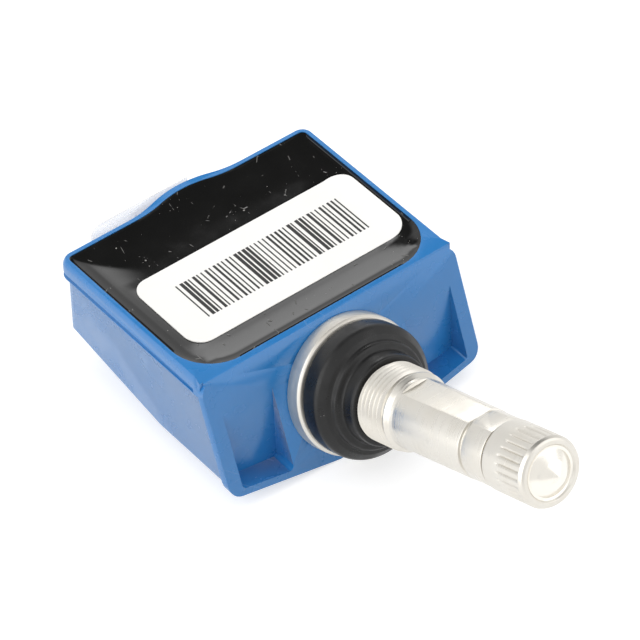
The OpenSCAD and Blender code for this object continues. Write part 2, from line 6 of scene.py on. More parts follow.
import bpy
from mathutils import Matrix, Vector

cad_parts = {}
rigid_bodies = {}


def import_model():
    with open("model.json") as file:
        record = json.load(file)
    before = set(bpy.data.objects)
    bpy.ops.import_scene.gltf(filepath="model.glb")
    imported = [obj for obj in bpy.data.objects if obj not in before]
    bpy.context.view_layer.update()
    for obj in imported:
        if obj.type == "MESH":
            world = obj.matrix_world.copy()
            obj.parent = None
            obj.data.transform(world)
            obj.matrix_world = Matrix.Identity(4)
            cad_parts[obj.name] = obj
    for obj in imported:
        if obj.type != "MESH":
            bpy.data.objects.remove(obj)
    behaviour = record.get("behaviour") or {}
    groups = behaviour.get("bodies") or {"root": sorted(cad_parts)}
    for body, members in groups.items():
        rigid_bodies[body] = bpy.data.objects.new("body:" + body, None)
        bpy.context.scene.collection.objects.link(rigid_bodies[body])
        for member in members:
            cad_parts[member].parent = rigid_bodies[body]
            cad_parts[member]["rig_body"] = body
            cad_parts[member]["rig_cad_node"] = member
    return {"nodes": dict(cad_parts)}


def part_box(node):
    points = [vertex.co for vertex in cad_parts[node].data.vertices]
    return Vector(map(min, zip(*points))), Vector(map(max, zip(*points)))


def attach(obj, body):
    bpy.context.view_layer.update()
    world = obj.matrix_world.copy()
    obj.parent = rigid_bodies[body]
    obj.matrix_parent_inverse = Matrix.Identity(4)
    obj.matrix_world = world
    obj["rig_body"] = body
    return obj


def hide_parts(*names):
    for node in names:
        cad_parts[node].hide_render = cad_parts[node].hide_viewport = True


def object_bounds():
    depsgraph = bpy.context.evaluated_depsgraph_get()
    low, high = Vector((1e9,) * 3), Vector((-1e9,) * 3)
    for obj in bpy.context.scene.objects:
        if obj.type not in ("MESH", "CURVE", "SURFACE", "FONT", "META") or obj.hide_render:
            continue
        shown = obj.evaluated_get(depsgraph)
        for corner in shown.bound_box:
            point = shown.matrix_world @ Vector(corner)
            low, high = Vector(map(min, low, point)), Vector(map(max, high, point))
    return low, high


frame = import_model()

bl_info = {
    "name": "Tyre Pressure Sensor",
    "version": (1, 0, 0),
    "blender": (4, 5, 0),
    "location": "3D View > Sidebar > Sensor",
    "description": "Models the pieces of a clamp-in tyre pressure sensor on its packed frame",
    "category": "Object",
}

MM = 0.001
CAD_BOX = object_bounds()
STEM_TILT = radians(20.25)
# Distance from the flange's face to the frame's origin, along the stem
ORIGIN_STATION = 8.05
LABEL_THICKNESS = 0.12 * MM
# Dull smear on the left wall and gate mark on the rim
SMEAR_PLACE = (-18.9 * MM, 22.7 * MM, 0.4 * MM)
GATE_PLACE = (-18.3 * MM, 23.4 * MM, 5.845 * MM)
GATE_RADIUS = 0.55 * MM
# The floor's colour and the light it gives to the camera and to gloss, and the sky's light on the pieces
FLOOR_WHITE = 0.64
FLOOR_GLOW = 0.56
SKY_LIGHT = 0.55
# Dim and bright zone of the mirrored sky: direction, inner and outer angle in degrees, factor
SKY_ZONES = (
    ((0.266, 0.328, 0.906), 22, 30, 0.12),
    ((0.445, 0.710, 0.545), 4, 12, 3.2),
)
# Camera fitted to the photograph
CAMERA_PLACE = (-0.216794, -0.266561, 0.344938)
CAMERA_TURN = (0.802478, 0.01507, -0.675274)
CAMERA_LENS = 234.2


def stem_point(station):
    """Place on the stem's axis, for a station in mm from the flange's face."""
    run = (station - ORIGIN_STATION) * MM
    return Vector((0.0, -run * cos(STEM_TILT), run * sin(STEM_TILT)))


# Selecting and editing


def clear_selection():
    """Leaves edit mode and deselects every object."""
    if bpy.context.object and bpy.context.object.mode != "OBJECT":
        bpy.ops.object.mode_set(mode="OBJECT")
    bpy.ops.object.select_all(action="DESELECT")


def activate(piece):
    """Makes one piece the only selected and the active object."""
    clear_selection()
    piece.select_set(True)
    bpy.context.view_layer.objects.active = piece


def open_edit(piece, mode="VERT", selected=False):
    """Opens a piece in edit mode with all or nothing selected."""
    activate(piece)
    bpy.ops.object.mode_set(mode="EDIT")
    bpy.ops.mesh.select_mode(type=mode)
    bpy.ops.mesh.select_all(action="SELECT" if selected else "DESELECT")


def pick_vertices(piece, test):
    """Selects the vertices whose place passes the test, and goes back to edit mode."""
    bpy.ops.mesh.select_mode(type="VERT")
    bpy.ops.mesh.select_all(action="DESELECT")
    bpy.ops.object.mode_set(mode="OBJECT")
    found = 0
    for vertex in piece.data.vertices:
        vertex.select = bool(test(vertex.co))
        found += vertex.select
    bpy.ops.object.mode_set(mode="EDIT")
    return found


def pick_faces(piece, test):
    """Selects the faces whose centre and normal pass the test, and goes back to edit mode."""
    bpy.ops.mesh.select_mode(type="FACE")
    bpy.ops.mesh.select_all(action="DESELECT")
    bpy.ops.object.mode_set(mode="OBJECT")
    found = 0
    for face in piece.data.polygons:
        face.select = bool(test(face.center, face.normal))
        found += face.select
    bpy.ops.object.mode_set(mode="EDIT")
    return found


def close_edit(piece):
    """Merges doubled vertices, turns the faces outwards and leaves edit mode."""
    bpy.ops.mesh.select_all(action="SELECT")
    bpy.ops.mesh.remove_doubles(threshold=2e-7)
    bpy.ops.mesh.normals_make_consistent(inside=False)
    bpy.ops.object.mode_set(mode="OBJECT")


def apply_modifier(piece, kind, **settings):
    """Adds a modifier with its settings and applies it."""
    activate(piece)
    bpy.ops.object.modifier_add(type=kind)
    modifier = piece.modifiers[-1]
    for key, value in settings.items():
        setattr(modifier, key, value)
    bpy.ops.object.modifier_apply(modifier=modifier.name)


def smooth(piece, degrees):
    """Shades a piece smooth, with sharp edges above an angle."""
    activate(piece)
    bpy.ops.object.shade_smooth_by_angle(angle=radians(degrees))


def settle(piece):
    """Puts the piece's origin at the frame's origin, with its place in its mesh."""
    activate(piece)
    bpy.ops.object.transform_apply(location=True, rotation=True, scale=True)


def lay_on_stem(piece):
    """Moves a piece that was turned about Z, with z as the station, onto the stem's axis."""
    settle(piece)
    piece.rotation_euler = (pi / 2 - STEM_TILT, 0.0, 0.0)
    piece.location = stem_point(0.0)
    settle(piece)


def dress(piece, *materials):
    """Gives a piece its materials, the first one on every face."""
    piece.data.materials.clear()
    for material in materials:
        piece.data.materials.append(material)


def paint_faces(piece, slot, test):
    """Gives a material slot to the faces that pass the test."""
    for face in piece.data.polygons:
        if test(face):
            face.material_index = slot


def copy_of_node(node, name):
    """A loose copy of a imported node, with its triangles merged into flat faces."""
    clear_selection()
    source = frame["nodes"][node]
    source.select_set(True)
    bpy.context.view_layer.objects.active = source
    bpy.ops.object.duplicate()
    piece = bpy.context.object
    piece.name = name
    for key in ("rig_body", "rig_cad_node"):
        if key in piece:
            del piece[key]
    open_edit(piece, "VERT", True)
    bpy.ops.mesh.remove_doubles(threshold=1e-6)
    bpy.ops.mesh.dissolve_limited(angle_limit=radians(0.4))
    bpy.ops.object.mode_set(mode="OBJECT")
    return piece


# Turning


def round_corners(points, steps):
    """Replaces each (station, radius, rounding) corner of a turned outline by an arc."""
    path = []
    for i, (s, r, rounding) in enumerate(points):
        if rounding <= 0 or i in (0, len(points) - 1):
            path.append((s, r))
            continue
        here = Vector((s, r))
        back = (Vector(points[i - 1][:2]) - here).normalized()
        ahead = (Vector(points[i + 1][:2]) - here).normalized()
        half = acos(max(-1.0, min(1.0, back.dot(ahead)))) / 2
        centre = here + (back + ahead).normalized() * rounding / sin(half)
        start = here + back * rounding / tan(half) - centre
        end = here + ahead * rounding / tan(half) - centre
        first = atan2(start.y, start.x)
        sweep = atan2(end.y, end.x) - first
        sweep = (sweep + pi) % (2 * pi) - pi
        for k in range(steps + 1):
            angle = first + sweep * k / steps
            path.append((centre.x + rounding * cos(angle), centre.y + rounding * sin(angle)))
    return path


def turned(name, path, sides, closed=False):
    """Turns an outline of (station, radius) pairs in mm about Z, ring by ring."""
    clear_selection()
    s, r = path[0]
    start = (0, 0, s * MM)
    bpy.ops.mesh.primitive_circle_add(vertices=sides, radius=r * MM, fill_type="NOTHING", location=start)
    piece = bpy.context.object
    piece.name = name
    open_edit(piece, "EDGE", True)
    if not closed:
        bpy.ops.mesh.edge_face_add()
        bpy.ops.mesh.select_all(action="DESELECT")
        bpy.ops.mesh.select_non_manifold()
    for s1, r1 in path[1:]:
        bpy.ops.mesh.extrude_region_move(TRANSFORM_OT_translate={"value": (0, 0, (s1 - s) * MM)})
        if r1 > 0:
            bpy.ops.transform.resize(value=(r1 / r, r1 / r, 1), center_override=(0, 0, s1 * MM))
        else:
            bpy.ops.mesh.merge(type="CENTER")
        s, r = s1, r1
    if not closed and r > 0:
        bpy.ops.mesh.edge_face_add()
    close_edit(piece)
    settle(piece)
    return piece


# Finishes


class Finish:
    """A node material that is built up step by step on the piece's own coordinates."""

    def __init__(self, name, colour, roughness, metallic=0.0, on_stem=False, **sockets):
        self.material = bpy.data.materials.new(name)
        self.material.use_nodes = True
        self.tree = self.material.node_tree
        self.shader = self.tree.nodes["Principled BSDF"]
        self.shader.inputs["Base Color"].default_value = (*colour, 1.0)
        self.shader.inputs["Roughness"].default_value = roughness
        self.shader.inputs["Metallic"].default_value = metallic
        for key, value in sockets.items():
            self.shader.inputs[key.replace("_", " ")].default_value = value
        self.colour = (*colour, 1.0)
        place = self.add("ShaderNodeTexCoord")
        self.place = place.outputs["Object"]
        if on_stem:
            turn = self.add("ShaderNodeMapping")
            turn.inputs["Rotation"].default_value = (STEM_TILT - pi / 2, 0.0, 0.0)
            turn.inputs["Location"].default_value = (0.0, 0.0, ORIGIN_STATION * MM)
            self.link(self.place, turn.inputs["Vector"])
            self.place = turn.outputs["Vector"]
        self.normal = None

    def add(self, kind, **settings):
        """Adds a node with its settings."""
        node = self.tree.nodes.new(kind)
        for key, value in settings.items():
            setattr(node, key, value)
        return node

    def link(self, source, target):
        """Joins an output to an input."""
        self.tree.links.new(source, target)

    def stretch(self, scale, rotation=(0, 0, 0)):
        """The piece's coordinates, stretched and turned."""
        node = self.add("ShaderNodeMapping")
        node.inputs["Scale"].default_value = scale
        node.inputs["Rotation"].default_value = rotation
        self.link(self.place, node.inputs["Vector"])
        return node.outputs["Vector"]

    def noise(self, scale, detail=3.0, rough=0.5, distortion=0.0, place=None):
        """Soft random field from 0 to 1."""
        node = self.add("ShaderNodeTexNoise")
        node.inputs["Scale"].default_value = scale
        node.inputs["Detail"].default_value = detail
        node.inputs["Roughness"].default_value = rough
        node.inputs["Distortion"].default_value = distortion
        self.link(place or self.place, node.inputs["Vector"])
        return node.outputs["Fac"]

    def cells(self, scale, feature="F1", place=None):
        """Distance to the middle or to the edge of scattered cells."""
        node = self.add("ShaderNodeTexVoronoi", feature=feature)
        node.inputs["Scale"].default_value = scale
        self.link(place or self.place, node.inputs["Vector"])
        return node.outputs["Distance"]

    def bands(self, scale, distortion):
        """Waves that follow each other along Z."""
        node = self.add("ShaderNodeTexWave", wave_type="BANDS", bands_direction="Z")
        node.inputs["Scale"].default_value = scale
        node.inputs["Distortion"].default_value = distortion
        node.inputs["Detail"].default_value = 1.0
        self.link(self.place, node.inputs["Vector"])
        return node.outputs["Fac"]

    def near(self, place, radius, squeeze):
        """Soft oval spot round a place on the piece: 1 in the middle, 0 beyond the radius."""
        from_place = self.add("ShaderNodeVectorMath", operation="SUBTRACT")
        from_place.inputs[1].default_value = place
        self.link(self.place, from_place.inputs[0])
        oval = self.add("ShaderNodeVectorMath", operation="MULTIPLY")
        oval.inputs[1].default_value = squeeze
        self.link(from_place.outputs["Vector"], oval.inputs[0])
        away = self.add("ShaderNodeVectorMath", operation="LENGTH")
        self.link(oval.outputs["Vector"], away.inputs[0])
        return self.spread(away.outputs["Value"], radius * 0.6, radius, 1.0, 0.0)

    def ring(self, place, radius, width):
        """Thin ring round a place on the piece: 1 on its line, 0 off it."""
        away = self.add("ShaderNodeVectorMath", operation="DISTANCE")
        away.inputs[1].default_value = place
        self.link(self.place, away.inputs[0])
        off = self.maths("ABSOLUTE", self.maths("SUBTRACT", away.outputs["Value"], radius), 0.0)
        return self.spread(off, 0.0, width, 1.0, 0.0)

    def spread(self, value, low, high, out_low=0.0, out_high=1.0):
        """Maps a value from one range to another, clamped."""
        node = self.add("ShaderNodeMapRange")
        node.clamp = True
        limits = {"From Min": low, "From Max": high, "To Min": out_low, "To Max": out_high}
        for key, number in limits.items():
            node.inputs[key].default_value = number
        self.link(value, node.inputs["Value"])
        return node.outputs["Result"]

    def maths(self, operation, a, b):
        """One step of arithmetic on two values, each a number or an output."""
        node = self.add("ShaderNodeMath", operation=operation)
        for socket, value in zip(node.inputs, (a, b)):
            if isinstance(value, (int, float)):
                socket.default_value = value
            else:
                self.link(value, socket)
        return node.outputs[0]

    def tint(self, factor, colour):
        """Mixes another colour over the present one by a factor, and keeps it as the base colour."""
        node = self.add("ShaderNodeMix", data_type="RGBA")
        self.link(factor, node.inputs[0])
        if self.shader.inputs["Base Color"].is_linked:
            self.link(self.shader.inputs["Base Color"].links[0].from_socket, node.inputs[6])
        else:
            node.inputs[6].default_value = self.colour
        node.inputs[7].default_value = (*colour, 1.0)
        self.link(node.outputs[2], self.shader.inputs["Base Color"])
        return self

    def rough(self, value, low, high, out_low, out_high):
        """Lets a value set the roughness, from one range to another."""
        self.link(self.spread(value, low, high, out_low, out_high), self.shader.inputs["Roughness"])
        return self

    def bump(self, height, strength, distance):
        """Adds one layer of relief, on top of those before it."""
        node = self.add("ShaderNodeBump")
        node.inputs["Strength"].default_value = strength
        node.inputs["Distance"].default_value = distance
        self.link(height, node.inputs["Height"])
        if self.normal is not None:
            self.link(self.normal, node.inputs["Normal"])
        self.normal = node.outputs["Normal"]
        self.link(self.normal, self.shader.inputs["Normal"])
        return self


def shade(colour, factor):
    """A colour made darker or lighter."""
    return tuple(min(1.0, c * factor) for c in colour)


def moulded_plastic(name, colour):
    """Semi-gloss moulded plastic with faint flow marks, scuffs and hair scratches."""
    f = Finish(name, colour, 0.25, Specular_IOR_Level=0.78, Sheen_Weight=0.26, Sheen_Roughness=0.4)
    f.tint(f.spread(f.noise(70, 3, 0.5), 0.42, 0.7, 0.0, 0.4), shade(colour, 0.9))
    f.tint(f.spread(f.noise(240, 4, 0.6, 0.4), 0.55, 0.75, 0.0, 0.25), shade(colour, 1.12))
    hair = f.cells(260, "DISTANCE_TO_EDGE", f.stretch((1.0, 0.25, 1.6), (0.3, 0.5, 0.9)))
    patch = f.spread(f.noise(140, 2), 0.6, 0.66)
    scratch = f.maths("MULTIPLY", f.spread(hair, 0.0, 0.010, 1.0, 0.0), patch)
    mottle = f.spread(f.noise(900, 4, 0.7), 0.4, 0.6)
    smear = f.maths("MULTIPLY", f.near(SMEAR_PLACE, 1.5 * MM, (1.0, 1.6, 0.85)), mottle)
    gate = f.ring(GATE_PLACE, GATE_RADIUS, 0.06 * MM)
    f.tint(f.maths("MULTIPLY", scratch, 0.3), (0.30, 0.45, 0.70))
    f.tint(f.maths("MULTIPLY", gate, 0.55), shade(colour, 0.45))
    f.tint(f.maths("MULTIPLY", smear, 0.3), (0.35, 0.50, 0.72))
    f.rough(f.maths("ADD", f.noise(300, 3, 0.5), f.maths("MULTIPLY", smear, 0.5)), 0.35, 1.0, 0.2, 0.42)
    f.bump(f.noise(1500, 3, 0.6), 0.07, 0.00003)
    f.bump(f.noise(60, 1, 0.4), 0.08, 0.0003)
    f.bump(scratch, 0.12, 0.00004)
    f.bump(gate, -0.3, 0.00004)
    return f.material


def poured_resin(name, colour, dust):
    """Glossy poured resin with a slow swell, dust specks and fine hairs."""
    f = Finish(name, colour, 0.07, Specular_IOR_Level=0.5)
    speck_size = f.spread(f.noise(700, 1), 0.42, 0.72, 0.0, 0.085)
    speck = f.maths("LESS_THAN", f.cells(620), speck_size)
    small = f.maths("LESS_THAN", f.cells(1500), f.spread(f.noise(300, 1), 0.45, 0.75, 0.0, 0.13))
    hair = f.cells(330, "DISTANCE_TO_EDGE", f.stretch((1.0, 0.6, 1.0), (0, 0, 0.6)))
    hairs = f.maths("MULTIPLY", f.spread(hair, 0.0, 0.02, 1.0, 0.0), f.spread(f.noise(700, 2), 0.6, 0.66))
    f.tint(f.spread(f.noise(200, 4, 0.6), 0.4, 0.75, 0.0, 0.5), shade(colour, 2.2))
    f.tint(f.maths("MULTIPLY", hairs, 0.4), dust)
    f.tint(f.maths("MULTIPLY", small, 0.5), dust)
    f.tint(f.maths("MULTIPLY", speck, 0.8), dust)
    haze = f.spread(f.noise(330, 5, 0.6), 0.4, 0.75, 0.05, 0.16)
    f.rough(f.maths("ADD", haze, speck), 0.0, 1.0, 0.0, 1.0)
    f.bump(f.noise(45, 1, 0.3), 0.12, 0.0006)
    f.bump(hairs, 0.25, 0.00008)
    f.bump(speck, 0.2, 0.00008)
    return f.material


def label_paper(name, colour):
    """White coated label with a faint grain and slightly soiled patches."""
    f = Finish(name, colour, 0.42, Specular_IOR_Level=0.4)
    f.tint(f.spread(f.noise(120, 3, 0.6), 0.5, 0.8, 0.0, 0.35), shade(colour, 0.93))
    f.tint(f.spread(f.noise(2600, 2, 0.7), 0.62, 0.8, 0.0, 0.12), (0.75, 0.72, 0.66))
    f.rough(f.noise(500, 3), 0.3, 0.7, 0.36, 0.5)
    f.bump(f.noise(2200, 3, 0.6), 0.08, 0.00003)
    f.bump(f.noise(110, 2, 0.5), 0.10, 0.0003)
    return f.material


def printed_ink(name, colour):
    """Black print with tiny voids."""
    f = Finish(name, colour, 0.5, Specular_IOR_Level=0.4)
    f.tint(f.spread(f.noise(3800, 2, 0.6), 0.6, 0.72, 0.0, 0.3), (0.22, 0.22, 0.21))
    f.rough(f.noise(900, 2), 0.3, 0.7, 0.42, 0.6)
    f.bump(f.noise(3000, 2), 0.08, 0.00002)
    return f.material


def moulded_rubber(name, colour, bloom, on_stem=False):
    """Matt black rubber with a pale bloom and a fine skin."""
    f = Finish(name, colour, 0.5, on_stem=on_stem, Specular_IOR_Level=0.34)
    f.tint(f.spread(f.noise(240, 5, 0.65), 0.48, 0.75, 0.0, 0.45), shade(colour, 2.0))
    f.tint(f.spread(f.noise(1900, 3, 0.7), 0.66, 0.78, 0.0, 0.3), bloom)
    speck = f.maths("LESS_THAN", f.cells(900), f.spread(f.noise(500, 1), 0.55, 0.8, 0.0, 0.07))
    f.tint(speck, (0.3, 0.3, 0.29))
    f.rough(f.noise(380, 4, 0.6), 0.35, 0.7, 0.24, 0.5)
    f.bump(f.noise(2400, 3, 0.6), 0.15, 0.00005)
    f.bump(f.noise(300, 2, 0.5), 0.10, 0.0002)
    return f.material


def turned_metal(name, colour, roughness, lines=0.12):
    """Satin turned metal with tool lines round the stem, small dents and a warm cast in patches."""
    f = Finish(name, colour, roughness, 1.0, on_stem=True)
    warm = tuple(c * k for c, k in zip(colour, (0.93, 0.90, 0.85)))
    f.tint(f.spread(f.noise(160, 4, 0.6), 0.45, 0.75, 0.0, 0.5), warm)
    f.tint(f.spread(f.noise(900, 4, 0.65), 0.58, 0.75, 0.0, 0.35), shade(colour, 0.78))
    fine = f.noise(600, 2, 0.6, place=f.stretch((0.08, 0.08, 9.0)))
    grain = f.maths("ADD", fine, f.maths("MULTIPLY", f.noise(240, 3), 0.5))
    f.rough(grain, 0.5, 1.0, roughness * 0.75, roughness * 1.3)
    f.bump(fine, lines, 0.00005)
    f.bump(f.bands(2400, 0.6), lines * 0.5, 0.00002)
    f.bump(f.noise(420, 3, 0.55), 0.05, 0.0001)
    return f.material


def plain_metal(name, colour, roughness):
    """Plated sheet metal of the parts inside."""
    f = Finish(name, colour, roughness, 1.0)
    f.tint(f.spread(f.noise(300, 4, 0.6), 0.45, 0.7, 0.0, 0.5), shade(colour, 0.8))
    f.rough(f.noise(700, 3), 0.3, 0.7, roughness * 0.8, roughness * 1.25)
    f.bump(f.noise(1400, 2), 0.06, 0.00004)
    return f.material


def dull_body(name, colour, roughness):
    """Moulded, ceramic or laminated bodies of the parts inside."""
    f = Finish(name, colour, roughness)
    f.tint(f.spread(f.noise(500, 4, 0.6), 0.45, 0.7, 0.0, 0.6), shade(colour, 0.75))
    f.rough(f.noise(900, 3), 0.3, 0.7, roughness * 0.85, min(1.0, roughness * 1.2))
    f.bump(f.noise(2000, 2), 0.10, 0.00004)
    return f.material


def clear_film(name, colour):
    """Thin see-through film with a milky haze and streaks."""
    f = Finish(name, colour, 0.25, IOR=1.3)
    streaks = f.noise(180, 4, 0.6, place=f.stretch((0.5, 1.0, 2.5)))
    f.tint(f.spread(streaks, 0.5, 0.75, 0.0, 0.5), (0.80, 0.70, 0.71))
    f.link(f.spread(streaks, 0.35, 0.7, 0.12, 0.4), f.shader.inputs["Alpha"])
    f.rough(f.noise(500, 3), 0.3, 0.7, 0.18, 0.4)
    f.bump(f.noise(220, 3), 0.25, 0.0002)
    return f.material


def film_edge(name, colour):
    """Cut edge of the film, which catches more light than its faces."""
    f = Finish(name, colour, 0.35, IOR=1.3)
    f.link(f.spread(f.noise(300, 3), 0.3, 0.7, 0.6, 0.85), f.shader.inputs["Alpha"])
    f.tint(f.spread(f.noise(700, 2), 0.5, 0.7, 0.0, 0.4), shade(colour, 0.85))
    f.bump(f.noise(900, 2), 0.1, 0.00003)
    return f.material


# Settings


class SensorSizes(bpy.types.PropertyGroup):
    """Sizes of the visible pieces that the frame doesn't fix"""

    edge_round: bpy.props.FloatProperty(
        name="Moulded edge rounding", description="Radius of the housing's small edges",
        default=0.12 * MM, unit="LENGTH",
    )
    rim_body: bpy.props.FloatProperty(
        name="Rim body", description="Thickness of the rim over the cavity's corners",
        default=0.35 * MM, unit="LENGTH",
    )
    rim_round: bpy.props.FloatProperty(
        name="Rim rounding", description="Width of the rounding of the rim's bead",
        default=0.76 * MM, unit="LENGTH",
    )
    rim_fall: bpy.props.FloatProperty(
        name="Rim fall", description="Height of the rounding of the rim's bead",
        default=1.65 * MM, unit="LENGTH",
    )
    bead_height: bpy.props.FloatProperty(
        name="Bead height", description="Height of the bead round the rim, as in the part",
        default=2.5 * MM, unit="LENGTH",
    )
    groove_height: bpy.props.FloatProperty(
        name="Groove height", description="Height of the groove low in the bead",
        default=0.62 * MM, unit="LENGTH",
    )
    groove_depth: bpy.props.FloatProperty(
        name="Groove depth", description="Depth of the groove low in the bead",
        default=0.35 * MM, unit="LENGTH",
    )
    groove_lip: bpy.props.FloatProperty(
        name="Groove lip", description="Height left under the groove",
        default=0.16 * MM, unit="LENGTH",
    )
    meniscus: bpy.props.FloatProperty(
        name="Meniscus", description="How far the potting climbs the wall",
        default=0.6 * MM, unit="LENGTH",
    )
    meniscus_width: bpy.props.FloatProperty(
        name="Meniscus width", description="How far in the climb starts",
        default=6.5 * MM, unit="LENGTH",
    )
    wetting: bpy.props.FloatProperty(
        name="Wetting", description="Further climb of the potting right beside the wall",
        default=0.22 * MM, unit="LENGTH",
    )
    wetting_width: bpy.props.FloatProperty(
        name="Wetting width", description="How far in the further climb starts",
        default=1.5 * MM, unit="LENGTH",
    )
    resin_grid: bpy.props.FloatProperty(
        name="Resin grid", description="Spacing of the lines that divide the resin's surface",
        default=0.6 * MM, unit="LENGTH",
    )
    thread_pitch: bpy.props.FloatProperty(
        name="Thread pitch", description="Pitch of the nut thread",
        default=0.75 * MM, unit="LENGTH",
    )
    thread_depth: bpy.props.FloatProperty(
        name="Thread depth", description="Depth of the nut thread",
        default=0.42 * MM, unit="LENGTH",
    )
    flutes: bpy.props.IntProperty(name="Flutes", description="Number of flutes round the cap", default=28)
    flute_depth: bpy.props.FloatProperty(
        name="Flute depth", description="Depth of a flute in the cap",
        default=0.17 * MM, unit="LENGTH",
    )
    label_corner: bpy.props.FloatProperty(
        name="Label corner", description="Radius of the label's corners",
        default=2.4 * MM, unit="LENGTH",
    )
    label_curl: bpy.props.FloatProperty(
        name="Label curl", description="Length of the label's end that climbs",
        default=3.1 * MM, unit="LENGTH",
    )


class SensorColours(bpy.types.PropertyGroup):
    """Colours of the visible finishes"""

    plastic: bpy.props.FloatVectorProperty(
        name="Housing", description="Moulded housing", subtype="COLOR", default=(0.013, 0.185, 0.50)
    )
    resin: bpy.props.FloatVectorProperty(
        name="Potting", description="Poured resin", subtype="COLOR", default=(0.004, 0.004, 0.0038)
    )
    dust: bpy.props.FloatVectorProperty(
        name="Dust", description="Specks on the resin", subtype="COLOR", default=(0.34, 0.33, 0.31)
    )
    paper: bpy.props.FloatVectorProperty(
        name="Label", description="Label face", subtype="COLOR", default=(0.90, 0.89, 0.86)
    )
    ink: bpy.props.FloatVectorProperty(
        name="Print", description="Printed bars", subtype="COLOR", default=(0.035, 0.034, 0.032)
    )
    rubber: bpy.props.FloatVectorProperty(
        name="Rubber", description="Grommet", subtype="COLOR", default=(0.009, 0.009, 0.0092)
    )
    bloom: bpy.props.FloatVectorProperty(
        name="Bloom", description="Pale bloom on the rubber", subtype="COLOR", default=(0.08, 0.08, 0.077)
    )
    metal: bpy.props.FloatVectorProperty(
        name="Metal", description="Stem, washer and cap", subtype="COLOR", default=(0.69, 0.665, 0.612)
    )
    film: bpy.props.FloatVectorProperty(
        name="Film", description="Film on the back wall", subtype="COLOR", default=(0.95, 0.93, 0.93)
    )


def sizes():
    return bpy.context.scene.sensor_sizes


def colours():
    return bpy.context.scene.sensor_colours


def known(name, maker, *values, **settings):
    """A material made once and shared by the pieces that have the same finish."""
    return bpy.data.materials.get(name) or maker(name, *values, **settings)


def label_lift(place):
    """How far the label's underside stands over the level resin, at a place along x."""
    low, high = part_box("label")
    rise = high.z - low.z - LABEL_THICKNESS
    climbing = max(0.0, 1 - (high.x - place) / sizes().label_curl)
    over_edge = max(0.0, 1 - (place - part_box("potting")[0].x) / sizes().meniscus_width)
    return rise * climbing ** 1.5 + sizes().meniscus * over_edge ** 2


# Pieces


